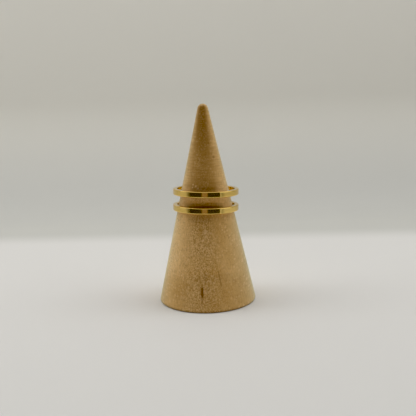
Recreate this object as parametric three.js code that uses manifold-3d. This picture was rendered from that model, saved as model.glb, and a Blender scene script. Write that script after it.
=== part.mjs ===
// A stackable double-band ring on a turned wooden ring cone, in millimetres with +Z up.
// The origin is the centre of the cone's foot, on the surface that the cone stands on.
import * as THREE from "three";
import { mergeVertices } from "three/addons/utils/BufferGeometryUtils.js";
import Module from "manifold-3d";

const wasm = await Module();
wasm.setup();

// Sizes of the ring cone
const coneFootDiameter = 30; // where the side would meet the table, before the edge is eased
const coneHeight = 60;
const coneTipRadius = 1.65; // the round nose
const coneFootEase = 0.5; // radius of the rounded edge round the foot

// Sizes of the ring
const boreDiameter = 17.5; // a circumference of 55 mm, the ring's size
const bandWall = 1.3; // from the bore to the flat outer face
const bandHeight = 1.8; // along the finger
const bandGap = 3; // between the two bands
const outerEase = 0.3; // radius of each band's outer edges
const boreEase = 0.12; // radius of the edges of the bore
const bridgeWidth = 4.5; // the plate that joins the bands at the back
const bridgeInset = 0.1; // how far the plate lies under the bands' inner and outer faces
const bridgeFillet = 0.8; // radius of the plate's corners where it meets the bands
const bridgeBite = 0.4; // how deep the plate runs into each band

// How the ring rests on the cone
const seatClearance = 0.12; // the narrowest gap between the bore's lower edge and the cone
const ringTilt = THREE.MathUtils.degToRad(1.6); // the side towards -X is the higher one
const ringOffset = 0.1; // of the lower band's centre from the cone's axis, towards +X

// How finely the round surfaces are cut
const coneSides = 80;
const ringSides = 96;
const tipSteps = 6;
const footSteps = 4;
const outerSteps = 3;
const boreSteps = 2;

const weldDistance = 1e-4; // vertices closer than this are one
const quarter = Math.PI / 2; // of a turn

const footRadius = coneFootDiameter / 2;
const boreRadius = boreDiameter / 2;
const outerRadius = boreRadius + bandWall;
const ringHeight = 2 * bandHeight + bandGap;

// The cone's side touches the round nose and passes through the foot's drawn radius.
const noseCentre = coneHeight - coneTipRadius;
const noseReach = Math.hypot(footRadius, noseCentre);
const taper = Math.acos(coneTipRadius / noseReach) - Math.atan2(noseCentre, footRadius);

// Points of an arc in the plane of a profile; angles run from the +x direction, anticlockwise.
function arcPoints(x, y, radius, from, to, steps) {
  const points = [];
  for (let i = 0; i <= steps; i++) {
    const angle = from + ((to - from) * i) / steps;
    points.push(new THREE.Vector2(x + radius * Math.cos(angle), y + radius * Math.sin(angle)));
  }
  return points;
}

// A profile of radius and height turned round the Z axis.
function turned(profile, sides) {
  return new THREE.LatheGeometry(profile, sides).rotateX(quarter);
}

function solidFrom(geometry) {
  const bare = geometry.clone();
  bare.deleteAttribute("normal");
  bare.deleteAttribute("uv");
  const merged = mergeVertices(bare, weldDistance);
  return new wasm.Manifold(
    new wasm.Mesh({
      numProp: 3,
      vertProperties: merged.attributes.position.array,
      triVerts: new Uint32Array(merged.index.array),
    }),
  );
}

function geometryFrom(solid) {
  const mesh = solid.getMesh();
  const geometry = new THREE.BufferGeometry();
  geometry.setAttribute("position", new THREE.BufferAttribute(mesh.vertProperties, mesh.numProp));
  geometry.setIndex(new THREE.BufferAttribute(mesh.triVerts, 1));
  geometry.computeVertexNormals();
  return geometry;
}

// The ring cone: a flat foot with an eased edge, a straight side and a round nose
function coneGeometry() {
  const easeRadius = footRadius - (coneFootEase * (1 + Math.sin(taper))) / Math.cos(taper);
  const profile = [
    new THREE.Vector2(0, 0),
    ...arcPoints(easeRadius, coneFootEase, coneFootEase, -quarter, taper, footSteps),
    ...arcPoints(0, noseCentre, coneTipRadius, taper, quarter, tipSteps),
  ];
  profile[profile.length - 1].x = 0; // the nose ends exactly on the axis
  return turned(profile, coneSides);
}

// One band of the ring, from the height given upwards
function bandGeometry(bottom) {
  const top = bottom + bandHeight;
  const outerX = outerRadius - outerEase;
  const boreX = boreRadius + boreEase;
  const profile = [
    ...arcPoints(outerX, bottom + outerEase, outerEase, -quarter, 0, outerSteps),
    ...arcPoints(outerX, top - outerEase, outerEase, 0, quarter, outerSteps),
    ...arcPoints(boreX, top - boreEase, boreEase, quarter, 2 * quarter, boreSteps),
    ...arcPoints(boreX, bottom + boreEase, boreEase, 2 * quarter, 3 * quarter, boreSteps),
  ];
  profile.push(profile[0].clone());
  return turned(profile, ringSides);
}

// The wall that the bridge is cut from: a tube a little thinner than the bands
function bridgeTube() {
  const inner = boreRadius + bridgeInset;
  const outer = outerRadius - bridgeInset;
  const profile = [
    new THREE.Vector2(inner, 0),
    new THREE.Vector2(outer, 0),
    new THREE.Vector2(outer, ringHeight),
    new THREE.Vector2(inner, ringHeight),
    new THREE.Vector2(inner, 0),
  ];
  return solidFrom(turned(profile, ringSides));
}

// The bridge's face, seen from behind: a waist that flares in round corners into both bands
function bridgeSolid() {
  const side = bridgeWidth / 2 + bridgeFillet;
  const low = bandHeight;
  const high = bandHeight + bandGap;
  const face = new THREE.Shape();
  face.moveTo(-side, low - bridgeBite);
  face.lineTo(side, low - bridgeBite);
  face.absarc(side, low + bridgeFillet, bridgeFillet, -quarter, -2 * quarter, true);
  face.absarc(side, high - bridgeFillet, bridgeFillet, 2 * quarter, quarter, true);
  face.lineTo(side, high + bridgeBite);
  face.lineTo(-side, high + bridgeBite);
  face.absarc(-side, high - bridgeFillet, bridgeFillet, quarter, 0, true);
  face.absarc(-side, low + bridgeFillet, bridgeFillet, 0, -quarter, true);
  face.closePath();
  const slab = new THREE.ExtrudeGeometry(face, {
    depth: outerRadius,
    bevelEnabled: false,
    curveSegments: tipSteps,
  });
  slab.rotateX(quarter); // the face stands up, and the slab runs towards -Y
  slab.translate(0, outerRadius, 0);
  return solidFrom(slab).intersect(bridgeTube());
}

// The ring is one piece of metal: both bands and the bridge, joined
function ringGeometry() {
  const lowerBand = solidFrom(bandGeometry(0));
  const upperBand = solidFrom(bandGeometry(bandHeight + bandGap));
  return geometryFrom(lowerBand.add(bridgeSolid()).add(upperBand));
}

// The height of the ring's lower plane at which the bore's eased edge stands clear of the cone
// by the seat clearance, on the side towards +X (side 1) or -X (side -1)
function seatHeightOn(side) {
  const edgeCentre = boreRadius + boreEase;
  const sine = Math.sin(ringTilt);
  const cosine = Math.cos(ringTilt);
  const reach = edgeCentre * cosine + side * (boreEase * sine + ringOffset);
  const drop = side * edgeCentre * sine - boreEase * cosine;
  const standOff = boreEase + seatClearance + (footRadius - reach) * Math.cos(taper);
  return standOff / Math.sin(taper) + drop;
}

const wood = new THREE.MeshStandardMaterial({ color: 0xa8844f, roughness: 0.85, metalness: 0 });
const gold = new THREE.MeshStandardMaterial({ color: 0xd0a95a, roughness: 0.2, metalness: 1 });

const ringCone = new THREE.Mesh(coneGeometry(), wood);
ringCone.name = "ring_cone";

const doubleBandRing = new THREE.Mesh(ringGeometry(), gold);
doubleBandRing.name = "double_band_ring";

const seatedRing = new THREE.Group();
seatedRing.position.set(ringOffset, 0, Math.max(seatHeightOn(1), seatHeightOn(-1)));
seatedRing.rotation.y = ringTilt;
seatedRing.add(doubleBandRing);

const displayedRing = new THREE.Group();
displayedRing.add(ringCone, seatedRing);

export default displayedRing;
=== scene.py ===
import math

import bmesh
import bpy
from mathutils import Matrix, Vector


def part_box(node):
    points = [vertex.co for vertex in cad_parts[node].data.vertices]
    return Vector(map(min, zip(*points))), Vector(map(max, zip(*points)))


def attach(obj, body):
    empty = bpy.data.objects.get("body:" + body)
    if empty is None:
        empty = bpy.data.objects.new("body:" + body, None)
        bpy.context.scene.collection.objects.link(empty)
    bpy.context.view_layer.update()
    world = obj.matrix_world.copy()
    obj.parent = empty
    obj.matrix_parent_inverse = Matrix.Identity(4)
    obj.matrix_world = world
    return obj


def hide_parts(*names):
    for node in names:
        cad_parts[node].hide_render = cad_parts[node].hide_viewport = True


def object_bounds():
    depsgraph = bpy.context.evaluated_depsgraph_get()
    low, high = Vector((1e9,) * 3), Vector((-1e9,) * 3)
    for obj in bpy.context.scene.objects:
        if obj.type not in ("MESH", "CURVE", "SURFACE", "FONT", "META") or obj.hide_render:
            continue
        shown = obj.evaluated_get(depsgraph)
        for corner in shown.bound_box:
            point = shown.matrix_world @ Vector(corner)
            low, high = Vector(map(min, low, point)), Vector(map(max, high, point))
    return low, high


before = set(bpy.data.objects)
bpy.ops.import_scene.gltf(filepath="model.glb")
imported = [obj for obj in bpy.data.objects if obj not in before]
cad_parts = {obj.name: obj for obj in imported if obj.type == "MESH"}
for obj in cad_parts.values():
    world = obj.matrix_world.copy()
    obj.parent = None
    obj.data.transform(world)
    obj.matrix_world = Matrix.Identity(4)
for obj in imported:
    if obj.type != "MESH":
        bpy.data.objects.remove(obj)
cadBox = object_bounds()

mm = 0.001
cadSize = (cadBox[1] - cadBox[0]) / mm
print("frame loaded, the object is", [round(side, 1) for side in cadSize], "mm")


# Small helpers for node trees

def feed(tree, socket, value):  # links another socket, or sets a plain value
    if isinstance(value, bpy.types.NodeSocket):
        tree.links.new(value, socket)
    else:
        socket.default_value = value


def addNode(tree, kind, inputs=None, **settings):  # inputs are values or sockets, by name or number
    node = tree.nodes.new(kind)
    for name, value in settings.items():
        setattr(node, name, value)
    for name, value in (inputs or {}).items():
        feed(tree, node.inputs[name], value)
    return node


def calc(tree, operation, *values):  # one maths node
    inputs = dict(enumerate(values))
    return addNode(tree, "ShaderNodeMath", inputs, operation=operation).outputs[0]


def moved(tree, operation, *values):  # one vector maths node
    inputs = dict(enumerate(values))
    return addNode(tree, "ShaderNodeVectorMath", inputs, operation=operation).outputs[0]


def spread(tree, value, low, high, toLow=0.0, toHigh=1.0):  # a soft step from low to high
    inputs = {"Value": value, "From Min": low, "From Max": high, "To Min": toLow, "To Max": toHigh}
    node = addNode(tree, "ShaderNodeMapRange", inputs, interpolation_type="SMOOTHSTEP")
    return node.outputs["Result"]


def blendColour(tree, share, first, second):  # colours are sockets or four numbers
    node = addNode(tree, "ShaderNodeMix", data_type="RGBA")
    for place, value in ((0, share), (6, first), (7, second)):
        feed(tree, node.inputs[place], value)
    return node.outputs[2]


def newGroup(name, kind, inputs, outputs):  # the sockets are (name, type, starting value)
    tree = bpy.data.node_groups.new(name, kind)
    for label, socketType, value in inputs:
        socket = tree.interface.new_socket(label, in_out="INPUT", socket_type="NodeSocket" + socketType)
        if value is not None:
            socket.default_value = value
    for label, socketType in outputs:
        tree.interface.new_socket(label, in_out="OUTPUT", socket_type="NodeSocket" + socketType)
    return tree, tree.nodes.new("NodeGroupInput").outputs, tree.nodes.new("NodeGroupOutput").inputs


def useGroup(tree, group, inputs):
    node = tree.nodes.new("ShaderNodeGroup")
    node.node_tree = group
    for name, value in inputs.items():
        feed(tree, node.inputs[name], value)
    return node.outputs


def grow(name, tree, values):  # the plain mesh that a geometry tree makes
    piece = bpy.data.objects.new(name, bpy.data.meshes.new(name + "Seed"))
    bpy.context.scene.collection.objects.link(piece)
    modifier = piece.modifiers.new("grow", "NODES")
    modifier.node_group = tree
    for item in tree.interface.items_tree:
        if item.in_out == "INPUT":
            modifier[item.identifier] = values[item.name]
    settle(piece)
    return piece


def settle(piece):  # bakes the modifiers into the mesh and points every face outwards
    graph = bpy.context.evaluated_depsgraph_get()
    plain = bpy.data.meshes.new_from_object(piece.evaluated_get(graph))
    piece.modifiers.clear()
    spare = piece.data
    piece.data = plain
    plain.name = piece.name
    bpy.data.meshes.remove(spare)
    work = bmesh.new()
    work.from_mesh(plain)
    bmesh.ops.recalc_face_normals(work, faces=work.faces)
    work.to_mesh(plain)
    work.free()
    plain.shade_smooth()


def dressWhole(piece, material):  # one finish on every face
    mesh = piece.data
    mesh.materials.clear()
    mesh.materials.append(material)
    mesh.polygons.foreach_set("material_index", [0] * len(mesh.polygons))


# Surface effects shared by the materials

def makeMottle():  # soft cloudy patches, 0 to 1
    inputs = [("Vector", "Vector", None), ("Size", "Float", 1.0), ("Contrast", "Float", 0.5)]
    tree, given, out = newGroup("softMottle", "ShaderNodeTree", inputs, [("Value", "Float")])
    scale = calc(tree, "DIVIDE", 1.0, given["Size"])
    noise = addNode(tree, "ShaderNodeTexNoise", {"Vector": given["Vector"], "Scale": scale, "Detail": 3.0})
    half = calc(tree, "MULTIPLY", given["Contrast"], 0.25)
    low = calc(tree, "SUBTRACT", 0.5, half)
    high = calc(tree, "ADD", 0.5, half)
    tree.links.new(spread(tree, noise.outputs["Fac"], low, high), out["Value"])
    return tree


def makeTurnedCoordinates():  # millimetres round, out and up on a turned piece
    inputs = [("Vector", "Vector", None)]
    outputs = [("Angle", "Float"), ("Radius", "Float"), ("Height", "Float"), ("Around", "Vector")]
    tree, given, out = newGroup("turnedCoordinates", "ShaderNodeTree", inputs, outputs)
    split = addNode(tree, "ShaderNodeSeparateXYZ", {0: given["Vector"]}).outputs
    towardsFront = calc(tree, "MULTIPLY", split["Y"], -1.0)
    angle = calc(tree, "ARCTAN2", split["X"], towardsFront)
    flat = addNode(tree, "ShaderNodeCombineXYZ", {0: split["X"], 1: split["Y"]}).outputs[0]
    length = addNode(tree, "ShaderNodeVectorMath", {0: flat}, operation="LENGTH").outputs["Value"]
    arc = calc(tree, "MULTIPLY", angle, length)
    unrolled = addNode(tree, "ShaderNodeCombineXYZ", {0: arc, 1: length, 2: split["Z"]}).outputs[0]
    tree.links.new(angle, out["Angle"])
    tree.links.new(length, out["Radius"])
    tree.links.new(split["Z"], out["Height"])
    tree.links.new(unrolled, out["Around"])
    return tree


def makeFineLines():  # thin lines along one direction, 0 to 1
    inputs = [("Vector", "Vector", None), ("Width", "Float", 0.1), ("Stretch", "Vector", (1, 1, 1))]
    tree, given, out = newGroup("fineLines", "ShaderNodeTree", inputs, [("Value", "Float")])
    drawn = moved(tree, "MULTIPLY", given["Vector"], given["Stretch"])
    scale = calc(tree, "DIVIDE", 1.0, given["Width"])
    noise = addNode(tree, "ShaderNodeTexNoise", {"Vector": drawn, "Scale": scale, "Detail": 2.0})
    tree.links.new(spread(tree, noise.outputs["Fac"], 0.3, 0.7), out["Value"])
    return tree


def makeMark():  # one soft oval mark at a place on a turned piece
    inputs = [("Angle", "Float", 0.0), ("Radius", "Float", 1.0), ("Height", "Float", 0.0),
              ("At Angle", "Float", 0.0), ("At Height", "Float", 0.0), ("Lean", "Float", 0.0),
              ("Width", "Float", 1.0), ("Length", "Float", 1.0)]
    tree, given, out = newGroup("surfaceMark", "ShaderNodeTree", inputs, [("Mask", "Float")])
    turn = calc(tree, "SUBTRACT", given["Angle"], given["At Angle"])
    across = calc(tree, "MULTIPLY", turn, given["Radius"])
    along = calc(tree, "SUBTRACT", given["Height"], given["At Height"])
    slant = calc(tree, "MULTIPLY", along, given["Lean"])
    across = calc(tree, "SUBTRACT", across, slant)
    x = calc(tree, "DIVIDE", calc(tree, "MULTIPLY", across, 2.0), given["Width"])
    z = calc(tree, "DIVIDE", calc(tree, "MULTIPLY", along, 2.0), given["Length"])
    squares = calc(tree, "ADD", calc(tree, "POWER", calc(tree, "ABSOLUTE", x), 2.0),
                   calc(tree, "POWER", calc(tree, "ABSOLUTE", z), 4.0))
    tree.links.new(spread(tree, squares, 0.3, 1.4, 1.0, 0.0), out["Mask"])
    return tree


softMottle = makeMottle()
turnedCoordinates = makeTurnedCoordinates()
fineLines = makeFineLines()
surfaceMark = makeMark()


def newMaterial(name):
    material = bpy.data.materials.new(name)
    material.use_nodes = True
    tree = material.node_tree
    tree.nodes.clear()
    shader = tree.nodes.new("ShaderNodeBsdfPrincipled")
    output = tree.nodes.new("ShaderNodeOutputMaterial")
    tree.links.new(shader.outputs[0], output.inputs["Surface"])
    return material, tree, shader.inputs


def objectMillimetres(tree, place=(0, 0, 0), turn=(0, 0, 0)):  # object coordinates, in mm from a place
    source = addNode(tree, "ShaderNodeTexCoord").outputs["Object"]
    settings = {"Vector": source, "Location": place, "Rotation": turn, "Scale": (mm, mm, mm)}
    return addNode(tree, "ShaderNodeMapping", settings, vector_type="TEXTURE").outputs[0]


# The ring cone: turned from one piece of pale wood

cone = {
    "footRadius": 14.985 * mm, "tipRadius": 1.65 * mm, "footEase": 0.5 * mm,
    "sides": 300, "rowHeight": 0.28 * mm, "arcSteps": 10,
    "ridgeDepth": 0.012 * mm, "ridgeSpacing": 0.9 * mm, "ridgeStretch": (0.12, 0.12, 1.0),
    "fibreDepth": 0.01 * mm, "fibreStretch": (1.0, 1.0, 0.08),
    "reliefSink": 0.8,  # of the ridge depth, so that no ridge stands past the cone's own side
    "plainFoot": (0.4 * mm, 1.6 * mm), "sweepRadius": 1e-6, "weldDistance": 5e-6,
}
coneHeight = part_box("ring_cone")[1].z


def sideTaper():  # the side touches the round tip and meets the table at the foot's radius
    noseHeight = coneHeight - cone["tipRadius"]
    reach = math.hypot(cone["footRadius"], noseHeight)
    return math.acos(cone["tipRadius"] / reach) - math.atan2(noseHeight, cone["footRadius"])


def makeConeTree():
    inputs = [("Height", "Float", 1.0), ("Foot Radius", "Float", 1.0), ("Taper", "Float", 0.1),
              ("Tip Radius", "Float", 0.1), ("Foot Ease", "Float", 0.1), ("Arc Steps", "Int", 8),
              ("Row Height", "Float", 0.1), ("Sides", "Int", 32), ("Ridge Depth", "Float", 0.0),
              ("Ridge Spacing", "Float", 0.1), ("Fibre Depth", "Float", 0.0), ("Material", "Material", None)]
    tree, given, out = newGroup("turnedConeTree", "GeometryNodeTree", inputs, [("Geometry", "Geometry")])
    shrink = calc(tree, "MULTIPLY", given["Height"], calc(tree, "TANGENT", given["Taper"]))
    topX = calc(tree, "SUBTRACT", given["Foot Radius"], shrink)
    topY = calc(tree, "MULTIPLY", given["Height"], -1.0)  # the sweep turns -Y upwards
    corners = {
        "Point 1": addNode(tree, "ShaderNodeCombineXYZ", {1: topY}).outputs[0],
        "Point 2": addNode(tree, "ShaderNodeCombineXYZ", {0: topX, 1: topY}).outputs[0],
        "Point 3": addNode(tree, "ShaderNodeCombineXYZ", {0: given["Foot Radius"]}).outputs[0],
        "Point 4": (0, 0, 0),
    }
    outline = addNode(tree, "GeometryNodeCurvePrimitiveQuadrilateral", mode="POINTS")
    for label, value in corners.items():
        feed(tree, outline.inputs[label], value)
    opened = addNode(tree, "GeometryNodeSetSplineCyclic", {0: outline.outputs[0], "Cyclic": False})
    index = addNode(tree, "GeometryNodeInputIndex").outputs[0]
    atTip = addNode(tree, "FunctionNodeCompare", {2: index, 3: 1}, data_type="INT", operation="EQUAL")
    radius = addNode(tree, "GeometryNodeSwitch", {0: atTip.outputs[0], 1: given["Foot Ease"],
                     2: given["Tip Radius"]}, input_type="FLOAT").outputs[0]
    rounded = addNode(tree, "GeometryNodeFilletCurve", {"Curve": opened.outputs[0], "Radius": radius,
                      "Count": given["Arc Steps"]}, mode="POLY")
    here = addNode(tree, "GeometryNodeInputPosition").outputs[0]
    following = calc(tree, "ADD", index, 1.0)
    there = addNode(tree, "GeometryNodeFieldAtIndex", {"Index": following, "Value": here},
                    data_type="FLOAT_VECTOR").outputs[0]
    step = addNode(tree, "ShaderNodeSeparateXYZ", {0: moved(tree, "SUBTRACT", there, here)}).outputs["Y"]
    rows = calc(tree, "FLOOR", calc(tree, "DIVIDE", calc(tree, "ABSOLUTE", step), given["Row Height"]))
    divided = addNode(tree, "GeometryNodeSubdivideCurve", {0: rounded.outputs[0], "Cuts": rows})
    path = addNode(tree, "GeometryNodeCurvePrimitiveCircle", {"Resolution": given["Sides"],
                   "Radius": cone["sweepRadius"]})
    swept = addNode(tree, "GeometryNodeCurveToMesh", {0: path.outputs[0], 1: divided.outputs[0]})
    closed = addNode(tree, "GeometryNodeMergeByDistance", {0: swept.outputs[0],
                     "Distance": cone["weldDistance"]})
    # low relief: ridges left by the turning, and fibres along the grain
    height = addNode(tree, "ShaderNodeSeparateXYZ", {0: here}).outputs["Z"]
    flattened = moved(tree, "MULTIPLY", here, cone["ridgeStretch"])
    ridgeScale = calc(tree, "DIVIDE", 1.0, given["Ridge Spacing"])
    ridges = addNode(tree, "ShaderNodeTexNoise", {"Vector": flattened, "Scale": ridgeScale, "Detail": 2.0})
    stretched = moved(tree, "MULTIPLY", here, cone["fibreStretch"])
    fibres = addNode(tree, "ShaderNodeTexNoise", {"Vector": stretched, "Scale": ridgeScale, "Detail": 3.0})
    ridgeLift = calc(tree, "MULTIPLY", calc(tree, "SUBTRACT", ridges.outputs[0], 0.5), given["Ridge Depth"])
    fibreLift = calc(tree, "MULTIPLY", calc(tree, "SUBTRACT", fibres.outputs[0], 0.5), given["Fibre Depth"])
    lift = calc(tree, "ADD", ridgeLift, fibreLift)
    lift = calc(tree, "SUBTRACT", lift, calc(tree, "MULTIPLY", given["Ridge Depth"], cone["reliefSink"]))
    lift = calc(tree, "MULTIPLY", lift, spread(tree, height, *cone["plainFoot"]))
    normal = addNode(tree, "GeometryNodeInputNormal").outputs[0]
    offset = addNode(tree, "ShaderNodeVectorMath", {0: normal, "Scale": lift}, operation="SCALE").outputs[0]
    raised = addNode(tree, "GeometryNodeSetPosition", {0: closed.outputs[0], "Offset": offset})
    whole = addNode(tree, "GeometryNodeRealizeInstances", {0: raised.outputs[0]})
    dressed = addNode(tree, "GeometryNodeSetMaterial", {0: whole.outputs[0], "Material": given["Material"]})
    tree.links.new(dressed.outputs[0], out["Geometry"])
    return tree


wood = {
    "pale": (0.77, 0.49, 0.207, 1), "deep": (0.64, 0.37, 0.118, 1), "cool": (0.56, 0.4, 0.19, 1),
    "side": (0.98, 0.66, 0.31, 1), "tip": (0.34, 0.17, 0.03, 1), "line": (0.22, 0.08, 0.01, 1),
    "fleckLight": (0.95, 0.69, 0.4, 1), "fleckDark": (0.36, 0.17, 0.035, 1), "paintedShade": (0.2, 0.1, 0.02, 1),
    "roughness": 0.72, "grainShare": 0.24, "relief": 0.05 * mm,
    "sheen": 0.66, "sheenRoughness": 0.45, "sheenTint": (0.8, 1.0, 0.82, 1),
    "rayTurn": -8, "fleckCentre": 8,  # degrees
    "rayStretch": (1.0, 0.12, 0.8), "cellScale": 2.2, "rayEndScale": 1.5, "fineScale": 2.9,
}
woodSpans = {  # each change up the cone: its start and end in mm, and its share at each
    "paleLeft": (5.0, 14.0, 0.0, 1.0), "paleRight": (24.0, 31.0, 0.0, 1.0),
    "paleFade": (34.0, 46.0, 0.65, 0.1), "cool": (30.0, 22.0, 0.0, 0.5),
    "paintedUpperShade": (31.0, 37.0, 0.0, 0.38), "darkTip": (41.0, 54.0, 0.0, 0.5),
    "paintedTipLight": (coneHeight / mm - 0.9, coneHeight / mm, 0.0, 0.45), "footEdge": (1.0, 0.1, 0.0, 0.7),
    "flecks": (24.0, 34.0, 1.0, 0.55), "fineFlecks": (26.0, 38.0, 0.56, 0.2),
    "turningLines": (24.0, 40.0, 0.08, 0.33),
}
woodMarks = {  # by tone: degrees from the front, height, width and length in mm, lean, strength
    "line": [  # a crack, a scratch and small dark spots
        (16.0, 9.8, 0.4, 5.0, -0.12, 0.4),
        (-3.0, 9.9, 1.1, 3.6, 0.0, 0.16),
        (35.2, 44.3, 0.7, 0.8, 0.0, 0.4),
        (-20.6, 43.4, 0.45, 0.6, 0.0, 0.4),
        (21.3, 48.4, 0.45, 0.9, 0.0, 0.35),
        (-7.0, 5.2, 0.7, 5.8, 0.0, 0.32),
        (-6.8, 5.9, 0.85, 3.0, 0.0, 0.85),
    ],
    "paintedShade": [  # painted shade: contact shadows above and below the bands where they meet the cone, and last shade low on the front near the table
        (-4.0, 29.6, 13.0, 3.4, 0.0, 0.38),
        (-4.0, 29.5, 12.0, 1.8, 0.0, 0.75),
        (-4.0, 34.9, 8.0, 1.6, 0.0, 0.34),
        (-6.0, 36.2, 9.0, 4.0, 0.0, 0.08),
        (-10.0, 26.6, 8.0, 2.4, 0.0, 0.16),
        (8.0, 5.5, 26.0, 11.0, 0.0, 0.12),
    ],
    "fleckLight": [  # painted light between the bands, where the gold bounces light onto the wood, then pale flecks above them and lower down
        (2.0, 32.3, 12.0, 1.7, 0.0, 0.14),
        (-31.2, 36.4, 0.45, 0.5, 0.0, 0.6),
        (-23.0, 36.0, 0.4, 0.6, 0.0, 0.6),
        (-17.0, 35.4, 0.4, 0.5, 0.0, 0.5),
        (-32.5, 35.6, 0.4, 0.5, 0.0, 0.5),
        (-2.8, 6.0, 1.4, 1.2, 0.0, 0.2),
        (-2.0, 22.6, 0.7, 0.5, 0.0, 0.45),
        (0.6, 18.4, 0.5, 0.5, 0.0, 0.4),
    ],
}


def woodMaterial():
    material, tree, shader = newMaterial("turnedWood")
    spot = objectMillimetres(tree)
    turned = useGroup(tree, turnedCoordinates, {"Vector": spot})
    height = turned["Height"]
    share = {name: spread(tree, height, *span) for name, span in woodSpans.items()}
    # slow changes of tone: pale and deep patches at random; then painted light, paler on both sides where
    # the side light falls, and painted shade, greyer low on the right and deeper towards the tip
    mottle = useGroup(tree, softMottle, {"Vector": spot, "Size": 7.0, "Contrast": 1.6})["Value"]
    colour = blendColour(tree, mottle, wood["pale"], wood["deep"])
    aside = calc(tree, "SINE", turned["Angle"])
    onLeft = calc(tree, "MULTIPLY", spread(tree, aside, -0.3, -0.95), share["paleLeft"])
    onRight = calc(tree, "MULTIPLY", spread(tree, aside, 0.3, 0.95), share["paleRight"])
    paintedSideLight = calc(tree, "MULTIPLY", calc(tree, "ADD", onLeft, onRight), share["paleFade"])
    colour = blendColour(tree, paintedSideLight, colour, wood["side"])
    paintedRightShade = calc(tree, "MULTIPLY", spread(tree, aside, 0.3, 1.0), share["cool"])
    colour = blendColour(tree, paintedRightShade, colour, wood["cool"])
    offRay = calc(tree, "SINE", calc(tree, "ADD", turned["Angle"], math.radians(wood["fleckCentre"])))
    offRay = calc(tree, "ABSOLUTE", offRay)
    # painted shade: the upper cone darker towards the tip, most in front and behind and least at the sides
    paintedUpperShade = calc(tree, "ADD", share["paintedUpperShade"], share["darkTip"])
    paintedUpperShade = calc(tree, "MULTIPLY", paintedUpperShade, spread(tree, offRay, 0.95, 0.35))
    colour = blendColour(tree, paintedUpperShade, colour, wood["tip"])
    # painted light on the very tip's top, and painted shade darkening the edge of the foot where it meets
    # the table
    colour = blendColour(tree, share["paintedTipLight"], colour, wood["side"])
    colour = blendColour(tree, share["footEdge"], colour, wood["paintedShade"])
    # straight grain up the cone
    grain = useGroup(tree, fineLines, {"Vector": spot, "Width": 0.35, "Stretch": (1, 1, 0.06)})["Value"]
    colour = blendColour(tree, calc(tree, "MULTIPLY", grain, wood["grainShare"]), colour, wood["fleckDark"])
    # the wood's rays run front to back: their ends are spots in front, and soft dashes at the sides
    alongRays = objectMillimetres(tree, turn=(0, 0, math.radians(wood["rayTurn"])))
    rays = moved(tree, "MULTIPLY", alongRays, wood["rayStretch"])
    cells = addNode(tree, "ShaderNodeTexNoise", {"Vector": rays, "Scale": wood["cellScale"], "Detail": 2.5,
                    "Roughness": 0.65}).outputs[0]
    rayEnds = addNode(tree, "ShaderNodeTexVoronoi", {"Vector": rays, "Scale": wood["rayEndScale"]},
                      feature="F1").outputs
    chosen = addNode(tree, "ShaderNodeSeparateColor", {0: rayEnds["Color"]}).outputs[0]
    spots = calc(tree, "MULTIPLY", spread(tree, rayEnds["Distance"], 0.5, 0.2, 0.0, 1.0),
                 spread(tree, chosen, 0.35, 0.8))
    patches = useGroup(tree, softMottle, {"Vector": spot, "Size": 6.0, "Contrast": 1.2})["Value"]
    amount = calc(tree, "ADD", calc(tree, "MULTIPLY", patches, 0.3), 0.15)
    amount = calc(tree, "MULTIPLY", share["flecks"], amount)
    # the finest flecks are crowded where the rays meet the surface head on, in front and behind
    headOn = spread(tree, offRay, 0.65, 0.1)
    fine = addNode(tree, "ShaderNodeTexNoise", {"Vector": rays, "Scale": wood["fineScale"], "Detail": 1.5,
                   "Roughness": 0.7}).outputs[0]
    crowd = calc(tree, "MULTIPLY", headOn, share["fineFlecks"])
    light = calc(tree, "MULTIPLY", spots, amount)
    dark = calc(tree, "MULTIPLY", spread(tree, cells, 0.47, 0.36), amount)
    colour = blendColour(tree, light, colour, wood["fleckLight"])
    colour = blendColour(tree, dark, colour, wood["fleckDark"])
    lightFine = calc(tree, "MULTIPLY", spread(tree, fine, 0.5, 0.66), crowd)
    darkFine = calc(tree, "MULTIPLY", spread(tree, fine, 0.5, 0.34), crowd)
    colour = blendColour(tree, lightFine, colour, wood["fleckLight"])
    colour = blendColour(tree, darkFine, colour, wood["fleckDark"])
    # fine rings left by the turning, clearer on the upper half
    lines = useGroup(tree, fineLines, {"Vector": spot, "Width": 0.45, "Stretch": (0.12, 0.12, 1)})["Value"]
    lineShare = calc(tree, "MULTIPLY", lines, share["turningLines"])
    colour = blendColour(tree, lineShare, colour, wood["fleckDark"])
    common = {"Angle": turned["Angle"], "Radius": turned["Radius"], "Height": height}
    for tone, rows in woodMarks.items():
        for degrees, middle, width, length, lean, strength in rows:
            place = {"At Angle": math.radians(degrees), "At Height": middle}
            form = {"Width": width, "Length": length, "Lean": lean}
            mask = useGroup(tree, surfaceMark, {**common, **place, **form})["Mask"]
            colour = blendColour(tree, calc(tree, "MULTIPLY", mask, strength), colour, wood[tone])
    tree.links.new(colour, shader["Base Color"])
    rough = spread(tree, cells, 0.3, 0.7, wood["roughness"] - 0.06, wood["roughness"] + 0.08)
    tree.links.new(rough, shader["Roughness"])
    shader["Sheen Weight"].default_value = wood["sheen"]
    shader["Sheen Roughness"].default_value = wood["sheenRoughness"]
    shader["Sheen Tint"].default_value = wood["sheenTint"]
    shader["IOR"].default_value = 1.45
    relief = calc(tree, "ADD", calc(tree, "MULTIPLY", grain, 0.5), calc(tree, "MULTIPLY", cells, 0.8))
    relief = calc(tree, "ADD", relief, calc(tree, "MULTIPLY", lineShare, 2.0))
    bump = addNode(tree, "ShaderNodeBump", {"Strength": 0.4, "Distance": wood["relief"], "Height": relief})
    tree.links.new(bump.outputs[0], shader["Normal"])
    return material


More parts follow.
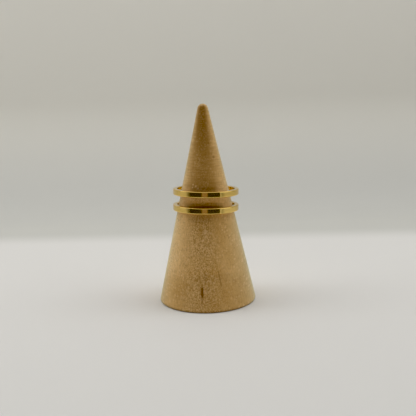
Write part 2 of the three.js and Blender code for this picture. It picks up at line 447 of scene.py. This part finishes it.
turnedWood = woodMaterial()
turnedCone = grow("turnedCone", makeConeTree(), {
    "Height": coneHeight, "Foot Radius": cone["footRadius"], "Taper": sideTaper(),
    "Tip Radius": cone["tipRadius"], "Foot Ease": cone["footEase"], "Arc Steps": cone["arcSteps"],
    "Row Height": cone["rowHeight"], "Sides": cone["sides"], "Ridge Depth": cone["ridgeDepth"],
    "Ridge Spacing": cone["ridgeSpacing"], "Fibre Depth": cone["fibreDepth"], "Material": turnedWood,
})
dressWhole(turnedCone, turnedWood)
print("ring cone turned,", len(turnedCone.data.polygons), "faces")


# The ring: two polished bands and the bridge that joins them at the back

ring = {
    "boreRadius": 8.75 * mm, "wall": 1.3 * mm, "bandHeight": 1.8 * mm, "gap": 3.0 * mm,
    "outerEase": 0.3 * mm, "boreEase": 0.12 * mm, "arcSteps": 6, "sides": 288, "tilt": math.radians(1.6),
    "bridgeWidth": 4.5 * mm, "bridgeInset": 0.1 * mm, "bridgeFillet": 0.8 * mm, "bridgeBite": 0.4 * mm,
    "bridgeEase": 0.1 * mm,
}


def makeBandTree():
    inputs = [("Bore Radius", "Float", 1.0), ("Wall", "Float", 0.1), ("Band Height", "Float", 0.1),
              ("Pitch", "Float", 0.2), ("Outer Ease", "Float", 0.01), ("Bore Ease", "Float", 0.01),
              ("Arc Steps", "Int", 4), ("Sides", "Int", 32), ("Bands", "Int", 2),
              ("Material", "Material", None)]
    tree, given, out = newGroup("twinBandTree", "GeometryNodeTree", inputs, [("Geometry", "Geometry")])
    section = addNode(tree, "GeometryNodeCurvePrimitiveQuadrilateral",
                      {"Width": given["Wall"], "Height": given["Band Height"]}, mode="RECTANGLE")
    here = addNode(tree, "GeometryNodeInputPosition").outputs[0]
    acrossWall = addNode(tree, "ShaderNodeSeparateXYZ", {0: here}).outputs["X"]
    isOuter = addNode(tree, "FunctionNodeCompare", {0: acrossWall, 1: 0.0}, operation="GREATER_THAN")
    radius = addNode(tree, "GeometryNodeSwitch", {0: isOuter.outputs[0], 1: given["Bore Ease"],
                     2: given["Outer Ease"]}, input_type="FLOAT").outputs[0]
    rounded = addNode(tree, "GeometryNodeFilletCurve", {"Curve": section.outputs[0], "Radius": radius,
                      "Count": given["Arc Steps"]}, mode="POLY")
    middle = calc(tree, "ADD", given["Bore Radius"], calc(tree, "MULTIPLY", given["Wall"], 0.5))
    path = addNode(tree, "GeometryNodeCurvePrimitiveCircle", {"Resolution": given["Sides"],
                   "Radius": middle})
    band = addNode(tree, "GeometryNodeCurveToMesh", {0: path.outputs[0], 1: rounded.outputs[0]})
    stepUp = addNode(tree, "ShaderNodeCombineXYZ", {2: given["Pitch"]}).outputs[0]
    firstZ = calc(tree, "MULTIPLY", given["Pitch"], -0.5)
    first = addNode(tree, "ShaderNodeCombineXYZ", {2: firstZ}).outputs[0]
    stack = addNode(tree, "GeometryNodeMeshLine", {"Count": given["Bands"], "Start Location": first,
                    "Offset": stepUp})
    placed = addNode(tree, "GeometryNodeInstanceOnPoints", {"Points": stack.outputs[0],
                     "Instance": band.outputs[0]})
    whole = addNode(tree, "GeometryNodeRealizeInstances", {0: placed.outputs[0]})
    dressed = addNode(tree, "GeometryNodeSetMaterial", {0: whole.outputs[0], "Material": given["Material"]})
    tree.links.new(dressed.outputs[0], out["Geometry"])
    return tree


def bridgeRows():  # heights and half widths of the bridge, from the lower band to the upper one
    half = ring["gap"] / 2
    fillet = ring["bridgeFillet"]
    waist = ring["bridgeWidth"] / 2
    steps = 6
    upper = []
    for i in range(steps + 1):
        turn = math.pi / 2 * i / steps
        upper.append((half - fillet + fillet * math.sin(turn), waist + fillet * (1 - math.cos(turn))))
    upper.append((half + ring["bridgeBite"], waist + fillet))
    return [(-height, width) for height, width in reversed(upper)] + upper


def buildBridge():
    inner = ring["boreRadius"] + ring["bridgeInset"]
    outer = ring["boreRadius"] + ring["wall"] - ring["bridgeInset"]
    columns = 16
    rows = bridgeRows()
    work = bmesh.new()
    shells = []
    for radius in (inner, outer):
        grid = []
        for height, width in rows:
            line = []
            for i in range(columns + 1):
                angle = (2 * i / columns - 1) * width / outer
                line.append(work.verts.new((radius * math.sin(angle), radius * math.cos(angle), height)))
            grid.append(line)
        shells.append(grid)
    for grid in shells:
        for low, high in zip(grid, grid[1:]):
            for i in range(columns):
                work.faces.new((low[i], low[i + 1], high[i + 1], high[i]))
    inside, outside = shells
    for i in range(columns):
        for row in (0, -1):
            work.faces.new((inside[row][i], inside[row][i + 1], outside[row][i + 1], outside[row][i]))
    for j in range(len(rows) - 1):
        for side in (0, -1):
            work.faces.new((inside[j][side], inside[j + 1][side], outside[j + 1][side], outside[j][side]))
    bmesh.ops.recalc_face_normals(work, faces=work.faces)
    mesh = bpy.data.meshes.new("bridge")
    work.to_mesh(mesh)
    work.free()
    bridge = bpy.data.objects.new("bridge", mesh)
    bpy.context.scene.collection.objects.link(bridge)
    bevel = bridge.modifiers.new("soften", "BEVEL")
    bevel.width = ring["bridgeEase"]
    bevel.segments = 3
    bevel.limit_method = "ANGLE"
    settle(bridge)
    return bridge


def evenNormals(mesh):  # each corner leans to its widest face, so that the flat bands mirror flatly
    pulls = [Vector() for vertex in mesh.vertices]
    for face in mesh.polygons:
        pull = face.normal * (face.area / mm ** 2) ** 2
        for index in face.vertices:
            pulls[index] += pull
    mesh.normals_split_custom_set_from_vertices([pull.normalized() for pull in pulls])


gold = {
    "colour": (0.82, 0.58, 0.2, 1), "roughness": 0.08, "hazeShare": 0.05, "polishShare": 0.03,
    "relief": 0.01 * mm,
}


def goldMaterial(ringMiddle):
    material, tree, shader = newMaterial("polishedGold")
    spot = objectMillimetres(tree, tuple(ringMiddle), (0, ring["tilt"], 0))
    turned = useGroup(tree, turnedCoordinates, {"Vector": spot})
    polish = useGroup(tree, fineLines, {"Vector": turned["Around"], "Width": 0.06,
                      "Stretch": (0.03, 1, 1)})["Value"]
    haze = useGroup(tree, softMottle, {"Vector": spot, "Size": 1.8, "Contrast": 1.4})["Value"]
    rough = calc(tree, "ADD", calc(tree, "MULTIPLY", haze, gold["hazeShare"]), gold["roughness"] - 0.02)
    rough = calc(tree, "ADD", rough, calc(tree, "MULTIPLY", polish, gold["polishShare"]))
    tree.links.new(rough, shader["Roughness"])
    shader["Base Color"].default_value = gold["colour"]
    shader["Metallic"].default_value = 1.0
    waves = useGroup(tree, softMottle, {"Vector": spot, "Size": 3.2, "Contrast": 2.0})["Value"]
    relief = calc(tree, "ADD", calc(tree, "MULTIPLY", polish, 0.02), waves)
    bump = addNode(tree, "ShaderNodeBump", {"Strength": 0.05, "Distance": gold["relief"], "Height": relief})
    tree.links.new(bump.outputs[0], shader["Normal"])
    return material


ringLow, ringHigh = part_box("double_band_ring")
ringMiddle = (ringLow + ringHigh) / 2
polishedGold = goldMaterial(ringMiddle)
doubleBandRing = grow("doubleBandRing", makeBandTree(), {
    "Bore Radius": ring["boreRadius"], "Wall": ring["wall"], "Band Height": ring["bandHeight"],
    "Pitch": ring["bandHeight"] + ring["gap"], "Outer Ease": ring["outerEase"],
    "Bore Ease": ring["boreEase"], "Arc Steps": ring["arcSteps"], "Sides": ring["sides"], "Bands": 2,
    "Material": polishedGold,
})
bridge = buildBridge()
join = doubleBandRing.modifiers.new("join", "BOOLEAN")
join.operation = "UNION"
join.solver = "EXACT"
join.object = bridge
settle(doubleBandRing)
bpy.data.objects.remove(bridge)
dressWhole(doubleBandRing, polishedGold)
doubleBandRing.data.transform(Matrix.Translation(ringMiddle) @ Matrix.Rotation(ring["tilt"], 4, "Y"))
evenNormals(doubleBandRing.data)
print("ring made,", len(doubleBandRing.data.polygons), "faces")

dressed = ((turnedCone, "ring_cone", "wood"), (doubleBandRing, "double_band_ring", "gold"))
for piece, node, slotName in dressed:
    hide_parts(node)
    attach(piece, "root")


# The camera, fitted to the photograph's 416 pixel frame

camera = {
    "distance": 163.65 * mm, "height": 54.17 * mm, "pitch": math.radians(8.93), "yaw": math.radians(0.27),
    "roll": math.radians(-1.587), "focalPixels": 539.6, "framePixels": 416,
    "clipStart": 10 * mm,
}


def placeCamera():
    pitch, yaw, roll = camera["pitch"], camera["yaw"], camera["roll"]
    ahead = Vector((math.sin(yaw) * math.cos(pitch), math.cos(yaw) * math.cos(pitch), -math.sin(pitch)))
    right = ahead.cross(Vector((0, 0, 1))).normalized()
    up = right.cross(ahead)
    rolledRight = right * math.cos(roll) + up * math.sin(roll)
    rolledUp = up * math.cos(roll) - right * math.sin(roll)
    data = bpy.data.cameras.new("photoCamera")
    data.lens = camera["focalPixels"] / camera["framePixels"] * data.sensor_width
    data.clip_start = camera["clipStart"]
    photoCamera = bpy.data.objects.new("photoCamera", data)
    axes = Matrix((rolledRight, rolledUp, -ahead)).transposed().to_4x4()
    place = Vector((0, -camera["distance"], camera["height"]))
    photoCamera.matrix_world = Matrix.Translation(place) @ axes
    bpy.context.scene.collection.objects.link(photoCamera)
    bpy.context.scene.camera = photoCamera


placeCamera()
print("camera placed")


# The set: a pale sweep in a softly lit room, which is dim on the photographer's side

studio = {
    "floorColour": (0.735, 0.722, 0.705, 1), "sideColour": (0.57, 0.56, 0.525, 1),
    "wallColour": (0.585, 0.581, 0.55, 1), "highWallColour": (0.84, 0.822, 0.752, 1),
    "sideSpan": (115.0, 200.0),  # mm to either side, where the floor's tone turns into the side's
    "stepSpan": (79.0, 107.0), "stepSlant": 0.045,  # mm behind the cone, a little nearer on the right
    "riseSpan": (5.0, 70.0),  # mm up, where the wall's tone turns into the high wall's
    "bendStart": 125 * mm, "bendRadius": 70 * mm, "wallTop": 600 * mm, "halfWidth": 900 * mm,
    "shadeColour": (0.05, 0.05, 0.06, 1),  # each shade: degrees from the front, and its depth at each
    "leftShade": (-74, -58, 0.0, 0.8), "rightShade": (70, 54, 0.0, 0.5), "backShade": (95, 125, 0.0, 0.08),
    "tableEdge": 125 * mm, "edgeAngles": (-56, 52),  # the round front edge, in degrees from the front
    "surroundRadius": 500 * mm, "underlay": 0.05 * mm,
}
room = {  # what surrounds the set: angles in degrees from the front, and rises from 0 to 1 overhead
    "left": (0.95, 0.98, 0.94, 1), "leftEdge": (-100, -56), "right": (0.95, 0.97, 0.93, 1),
    "rightEdge": (48, 54), "front": (0.063, 0.065, 0.074, 1),
    "seen": (0.48, 0.47, 0.42, 1),  # what the camera itself would see past the paper
    "strip": (0.29, 0.22, 0.2, 1), "stripEdges": (-14.5, 5.5), "stripBlur": 1.0, "stripTop": 0.3,
    "ceiling": (0.6, 0.6, 0.58, 1), "ceilingEdge": (0.7, 0.9),
    "shine": (0.54, 0.52, 0.5, 1), "shineEdge": (0.3, 0.55),  # the ceiling as the gold mirrors it
    "sideShine": (0.95, 0.93, 0.92, 1), "sideShineEdge": (50, 95),
}


def paperMaterial():
    material, tree, shader = newMaterial("palePaper")
    spot = objectMillimetres(tree)
    split = addNode(tree, "ShaderNodeSeparateXYZ", {0: spot}).outputs
    # painted light and shade on the paper: the floor's tone turns darker to either side and into the darker
    # wall's tone before the bend, and the wall is painted lighter higher up, where more light falls
    sideways = calc(tree, "ABSOLUTE", split["X"])
    aside = spread(tree, sideways, *studio["sideSpan"])
    colour = blendColour(tree, aside, studio["floorColour"], studio["sideColour"])
    slanted = calc(tree, "ADD", split["Y"], calc(tree, "MULTIPLY", split["X"], studio["stepSlant"]))
    colour = blendColour(tree, spread(tree, slanted, *studio["stepSpan"]), colour, studio["wallColour"])
    risen = spread(tree, split["Z"], *studio["riseSpan"])
    colour = blendColour(tree, risen, colour, studio["highWallColour"])
    # towards the photographer the table is in shade, for all light but the camera's own view of it
    around = useGroup(tree, turnedCoordinates, {"Vector": spot})
    angle = calc(tree, "DEGREES", around["Angle"])
    onRight = calc(tree, "GREATER_THAN", angle, 0.0)
    shadeLeft = spread(tree, angle, *studio["leftShade"])
    shadeRight = calc(tree, "ADD", spread(tree, angle, *studio["rightShade"]),
                      spread(tree, angle, *studio["backShade"]))
    shade = calc(tree, "ADD", calc(tree, "MULTIPLY", shadeRight, onRight),
                 calc(tree, "MULTIPLY", shadeLeft, calc(tree, "SUBTRACT", 1.0, onRight)))
    outside = calc(tree, "GREATER_THAN", around["Radius"], studio["tableEdge"] / mm)
    mirrored = calc(tree, "SUBTRACT", 1.0, addNode(tree, "ShaderNodeLightPath").outputs["Is Camera Ray"])
    shade = calc(tree, "MULTIPLY", shade, calc(tree, "MULTIPLY", outside, mirrored))
    colour = blendColour(tree, shade, colour, studio["shadeColour"])
    tree.links.new(colour, shader["Base Color"])
    shader["Roughness"].default_value = 0.7
    shader["Specular IOR Level"].default_value = 0.25
    return material


def tablePoints():  # round the front half of the table, whose middle part has a near round edge
    far = studio["halfWidth"]
    near = studio["tableEdge"]
    start, end = studio["edgeAngles"]
    steps = 24
    angles = [(-90, far), (start, far)]
    angles += [(start + (end - start) * i / steps, near) for i in range(steps + 1)]
    angles += [(end, far), (90, far)]
    return [(radius * math.sin(math.radians(turn)), -radius * math.cos(math.radians(turn)), 0.0)
            for turn, radius in angles]


def bendLine(start, steps):  # out along the floor, round the bend and up the wall
    bend = studio["bendRadius"]
    turns = [math.pi / 2 * i / steps for i in range(steps + 1)]
    line = [(start + bend * math.sin(turn), bend * (1 - math.cos(turn))) for turn in turns]
    return [(0.0, 0.0), *line, (line[-1][0], studio["wallTop"])]


def addPaper(name, corners, faces):
    mesh = bpy.data.meshes.new(name)
    mesh.from_pydata(corners, [], faces)
    mesh.materials.append(palePaper)
    mesh.shade_smooth()
    paper = bpy.data.objects.new(name, mesh)
    bpy.context.scene.collection.objects.link(paper)
    return paper


def buildSweep():
    line = bendLine(studio["bendStart"], 24)
    side = studio["halfWidth"]
    corners = [(x, y, z) for y, z in line for x in (-side, side)]
    faces = [(2 * i, 2 * i + 1, 2 * i + 3, 2 * i + 2) for i in range(len(line) - 1)]
    middle = len(corners)
    rim = tablePoints()
    corners += [(0.0, 0.0, 0.0), *rim]
    faces += [(middle, middle + i + 1, middle + i + 2) for i in range(len(rim) - 1)]
    sweep = addPaper("paperSweep", corners, faces)


def buildSurround():  # floor and wall all round for the eye alone: the light and the gold pass them by
    turns = 96
    rows = bendLine(studio["surroundRadius"], 12)
    corners = []
    for radius, height in rows:
        for i in range(turns):
            turn = 2 * math.pi * i / turns
            corners.append((radius * math.sin(turn), radius * math.cos(turn), height - studio["underlay"]))
    faces = []
    for j in range(len(rows) - 1):
        low, high = j * turns, (j + 1) * turns
        for i in range(turns):
            after = (i + 1) % turns
            faces.append((low + i, low + after, high + after, high + i))
    surround = addPaper("surround", corners, faces)
    surround.visible_glossy = False
    surround.visible_diffuse = False
    surround.visible_shadow = False


def buildRoom():
    world = bpy.data.worlds.new("softRoom")
    bpy.context.scene.world = world
    world.use_nodes = True
    tree = world.node_tree
    direction = addNode(tree, "ShaderNodeTexCoord").outputs["Object"]
    split = addNode(tree, "ShaderNodeSeparateXYZ", {0: direction}).outputs
    towardsFront = calc(tree, "MULTIPLY", split["Y"], -1.0)
    angle = calc(tree, "DEGREES", calc(tree, "ARCTAN2", split["X"], towardsFront))
    left = spread(tree, angle, *room["leftEdge"], 1.0, 0.0)
    right = spread(tree, angle, *room["rightEdge"])
    start, end = room["stripEdges"]
    blur = room["stripBlur"]
    inStrip = calc(tree, "MULTIPLY", spread(tree, angle, start - blur, start + blur),
                   spread(tree, angle, end - blur, end + blur, 1.0, 0.0))
    low = calc(tree, "LESS_THAN", split["Z"], room["stripTop"])
    colour = blendColour(tree, calc(tree, "MULTIPLY", inStrip, low), room["front"], room["strip"])
    colour = blendColour(tree, left, colour, room["left"])
    colour = blendColour(tree, right, colour, room["right"])
    rays = addNode(tree, "ShaderNodeLightPath").outputs
    turnedAside = spread(tree, calc(tree, "ABSOLUTE", angle), *room["sideShineEdge"])
    overhead = blendColour(tree, turnedAside, room["shine"], room["sideShine"])
    shine = blendColour(tree, spread(tree, split["Z"], *room["shineEdge"]), colour, overhead)
    colour = blendColour(tree, spread(tree, split["Z"], *room["ceilingEdge"]), colour, room["ceiling"])
    colour = blendColour(tree, rays["Is Glossy Ray"], colour, shine)
    colour = blendColour(tree, rays["Is Camera Ray"], colour, room["seen"])
    tree.links.new(colour, tree.nodes["Background"].inputs["Color"])


softBoxes = {  # in mm: where each one hangs, what it points at and its sides; then its power in watts
    "backBox": ((50, 60, 390), (50, 195, 130), (900, 250), 1.06),
    "leftBox": ((-450, 30, 250), (0, 60, 50), (400, 400), 0.36),
    "rightBox": ((450, 30, 250), (0, 60, 50), (400, 400), 0.08),
}


def hangSoftBoxes():
    for name, (place, target, sides, power) in softBoxes.items():
        light = bpy.data.lights.new(name, "AREA")
        light.shape = "RECTANGLE"
        light.size, light.size_y = (side * mm for side in sides)
        light.energy = power
        box = bpy.data.objects.new(name, light)
        box.location = Vector(place) * mm
        box.rotation_euler = (Vector(target) - Vector(place)).to_track_quat("-Z", "Y").to_euler()
        box.visible_camera = False
        box.visible_glossy = False  # the gold mirrors the soft room, not the lamps
        bpy.context.scene.collection.objects.link(box)


blackLevel = 0.026  # the camera's own contrast: deep tones fall off a little faster


def setTone():
    view = bpy.context.scene.view_settings
    view.view_transform = "Standard"
    view.use_curve_mapping = True
    view.curve_mapping.black_level = (blackLevel,) * 3
    view.curve_mapping.update()


palePaper = paperMaterial()
buildSweep()
buildSurround()
buildRoom()
hangSoftBoxes()
setTone()
print("set and lights ready")
